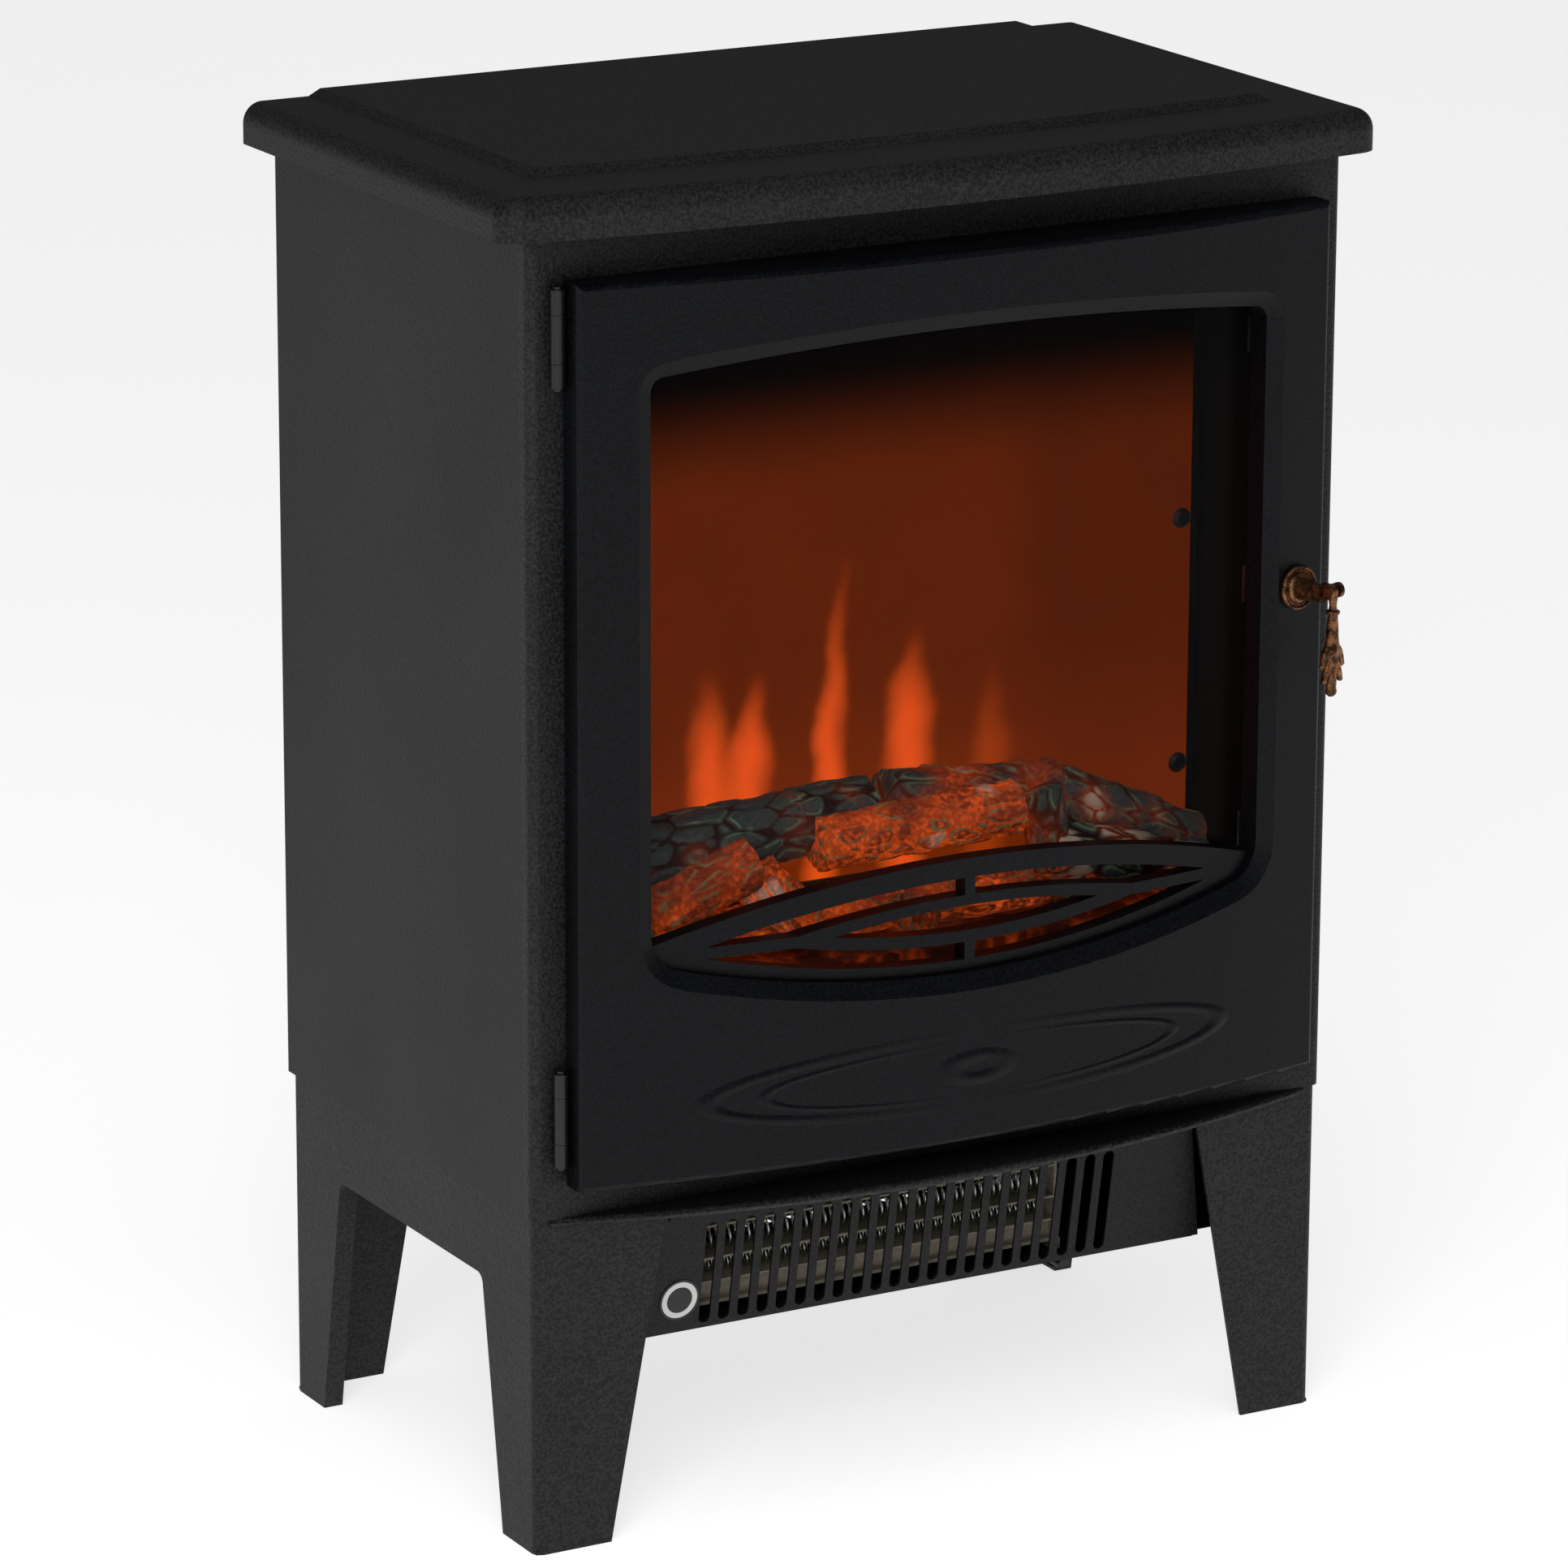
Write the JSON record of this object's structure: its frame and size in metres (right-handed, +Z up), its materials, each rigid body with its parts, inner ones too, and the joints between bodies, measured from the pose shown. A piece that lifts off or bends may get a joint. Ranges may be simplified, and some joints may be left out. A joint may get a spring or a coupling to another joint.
{
  "type": "electric fireplace",
  "caption": "Free-standing electric fireplace shaped like a small iron stove, with a bowed hinged door, a log fire behind a window and a fan heater under it.",
  "frame": {"origin": "on the floor, under the middle of the whole object", "axes": "+Z up, +X to the right of a person facing the door, door faces -Y"},
  "size_m": [0.4228, 0.285, 0.591],
  "materials": {
    "speckled_black": "fine stippled powder coat with a sparkle",
    "satin_black": "smooth satin powder coat",
    "door_black": "satin blue-black powder coat",
    "black_hinge": "black lacquer",
    "copper_bronze": "antique copper with dark recesses",
    "zinc_steel": "zinc plated",
    "clear_glass": "clear toughened glass",
    "amber_screen": "satin translucent amber sheet, lit from behind",
    "black_plastic": "moulded black plastic",
    "painted_resin": "moulded resin painted as charred bark with glowing orange patches and white ash",
    "ember_resin": "moulded resin painted as embers",
    "firebox_black": "matt black paint",
    "bright_aluminium": "bright rolled sheet",
    "motor_steel": "pressed steel",
    "circuit_board": "white solder mask",
    "lamp": "yellow lamp packages",
    "mica_board": "pale mica board",
    "heating_wire": "bright resistance wire",
    "pale_sticker": "plain printed ring on a round sticker"
  },
  "bodies": {
    "cabinet": {"back_panel": "satin_black", "back_screws": "zinc_steel", "base_deck": "satin_black", "blower_motor": "motor_steel", "blower_scroll": "bright_aluminium", "cabinet_top_panel": "satin_black", "cable_clip": "black_plastic", "control_plate": "satin_black", "cord_gland": "black_plastic", "element_frame": "mica_board", "ember_bed": "ember_resin", "firebox_liner": "firebox_black", "flame_screen": "amber_screen", "front_frame": "speckled_black", "hearth_ledge": "speckled_black", "heater_box": "satin_black", "heating_coil": "heating_wire", "led_board": "circuit_board", "led_lamps": "lamp", "left_leg_panel": "speckled_black", "left_side_panel": "satin_black", "log_set": "painted_resin", "lower_hinge_frame_leaf": "black_hinge", "lower_hinge_pin": "black_hinge", "magnet_catch": "black_plastic", "outlet_panel": "satin_black", "rear_rail": "satin_black", "rear_reflector": "bright_aluminium", "right_leg_panel": "speckled_black", "right_side_panel": "satin_black", "rotor_bush": "black_plastic", "rotor_motor": "motor_steel", "round_sticker": "pale_sticker", "screen_rivets": "black_plastic", "switch_housings": "black_plastic", "thermal_cutout": "motor_steel", "thermostat_body": "black_plastic", "top_cover": "speckled_black", "upper_hinge_frame_leaf": "black_hinge", "upper_hinge_pin": "black_hinge"},
    "door": {"door_panel": "door_black", "window_grille": "door_black", "grille_pins": "zinc_steel", "door_glass": "clear_glass", "glass_clips": "zinc_steel", "upper_hinge_door_leaf": "black_hinge", "lower_hinge_door_leaf": "black_hinge", "handle_rosette": "copper_bronze", "handle_post": "copper_bronze", "handle_screw": "zinc_steel", "handle_pin": "copper_bronze", "strike_plate": "zinc_steel"},
    "handle_drop": {"handle_drop": "copper_bronze"},
    "flame_rotor": {"flame_rotor": "bright_aluminium"},
    "blower_rotor": {"blower_rotor": "bright_aluminium"},
    "flame_rocker": {"flame_rocker": "black_plastic"},
    "low_heat_rocker": {"low_heat_rocker": "black_plastic"},
    "high_heat_rocker": {"high_heat_rocker": "black_plastic"},
    "thermostat_knob": {"thermostat_knob": "black_plastic"}
  },
  "joints": [
    {"name": "door_hinge", "type": "hinge", "parent": "cabinet", "child": "door", "pos_m": [-0.1852, -0.1024, 0.36], "axis": [0, 0, -1], "range_deg": [0, 105]},
    {"name": "drop_swing", "type": "hinge", "parent": "door", "child": "handle_drop", "pos_m": [0.17039, -0.13844, 0.3878], "axis": [-0.9837, -0.18, 0], "range_deg": [-22, 100]},
    {"name": "flame_rotor_spin", "type": "hinge", "parent": "cabinet", "child": "flame_rotor", "pos_m": [0, -0.0062, 0.268], "axis": [1, 0, 0], "continuous": true},
    {"name": "blower_spin", "type": "hinge", "parent": "cabinet", "child": "blower_rotor", "pos_m": [0, -0.0062, 0.117], "axis": [1, 0, 0], "continuous": true},
    {"name": "thermostat_turn", "type": "hinge", "parent": "cabinet", "child": "thermostat_knob", "pos_m": [0.038, -0.1062, 0.202], "axis": [0, -1, 0], "range_deg": [0, 270]},
    {"name": "flame_switch", "type": "hinge", "parent": "cabinet", "child": "flame_rocker", "pos_m": [-0.052, -0.0992, 0.202], "axis": [-1, 0, 0], "range_deg": [0, 14]},
    {"name": "low_heat_switch", "type": "hinge", "parent": "cabinet", "child": "low_heat_rocker", "pos_m": [-0.03, -0.0992, 0.202], "axis": [-1, 0, 0], "range_deg": [0, 14]},
    {"name": "high_heat_switch", "type": "hinge", "parent": "cabinet", "child": "high_heat_rocker", "pos_m": [-0.008, -0.0992, 0.202], "axis": [-1, 0, 0], "range_deg": [0, 14]}
  ]
}
